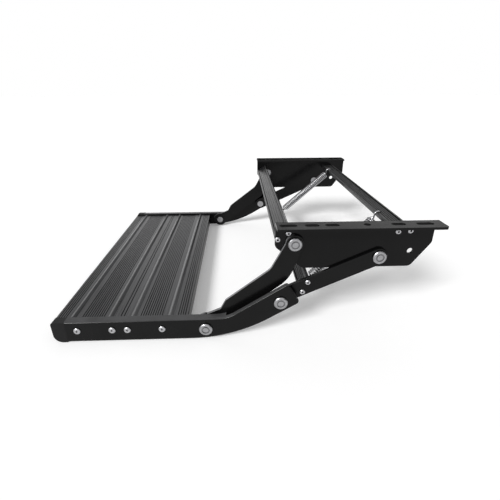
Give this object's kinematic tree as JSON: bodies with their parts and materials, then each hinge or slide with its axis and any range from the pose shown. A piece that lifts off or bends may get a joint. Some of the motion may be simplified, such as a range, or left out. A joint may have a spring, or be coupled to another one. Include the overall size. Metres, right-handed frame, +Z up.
{
  "type": "pull-out caravan entry step",
  "caption": "Under-floor entry step for a caravan: slotted side brackets, folding four-bar links with tension springs, and a ribbed metal tread that swings back beneath.",
  "frame": {"origin": "in the mounting plane, midway between the two round locating holes of the flanges", "axes": "+X across the vehicle to the right of a person stepping up, +Y in towards the vehicle, +Z up"},
  "size_m": [0.576, 0.612, 0.1962],
  "materials": {
    "bracket": "gloss black powder coat",
    "link": "gloss black powder coat",
    "tread_side": "satin black powder coat",
    "nose_cap": "fine matt",
    "crossbar": "dark anodised, extruded",
    "tread": "dark anodised, ribbed extrusion",
    "rivet": "zinc plate",
    "frame_screw": "zinc plate",
    "zinc_screw": "zinc plate",
    "washer": "black nylon",
    "bush": "black",
    "spring": "bright zinc plate"
  },
  "bodies": {
    "frame": {"bracket_right": "bracket", "bracket_left": "bracket", "front_crossbar": "crossbar", "rear_crossbar": "crossbar", "crossbar_screws": "frame_screw", "front_bracket_rivets": "rivet", "rear_bracket_rivets": "rivet", "bracket_washers": "washer", "spring_right": "spring", "spring_left": "spring"},
    "rear_links": {"rear_link_right": "link", "rear_link_left": "link", "link_tie": "crossbar", "tie_screws": "frame_screw"},
    "front_links": {"front_link_right": "link", "front_link_left": "link", "front_link_studs": "rivet"},
    "tread": {"tread_front_plank": "tread", "tread_rear_plank": "tread", "tread_side_right": "tread_side", "tread_side_left": "tread_side", "tread_nose_right": "nose_cap", "tread_nose_left": "nose_cap", "tread_screws": "zinc_screw", "rear_tread_rivets": "rivet", "rear_tread_bushes": "bush", "front_tread_rivets": "rivet", "front_tread_bushes": "bush"}
  },
  "joints": [
    {"name": "fold", "type": "hinge", "parent": "frame", "child": "rear_links", "pos_m": [0, 0.0304, -0.0584], "axis": [1, 0, 0], "range_deg": [0, 110], "deforming": ["spring_right", "spring_left"]},
    {"name": "front_link_swing", "type": "hinge", "parent": "frame", "child": "front_links", "pos_m": [0, -0.1038, -0.0341], "axis": [1, 0, 0], "range_deg": [0, 83]},
    {"name": "tread_level", "type": "hinge", "parent": "rear_links", "child": "tread", "pos_m": [0, -0.1248, -0.1286], "axis": [1, 0, 0], "range_deg": [-126, 0]}
  ],
  "couplings": [
    {"joint": "front_link_swing", "follows": "fold", "ratio": 0.7527},
    {"joint": "tread_level", "follows": "fold", "ratio": -1.14}
  ]
}
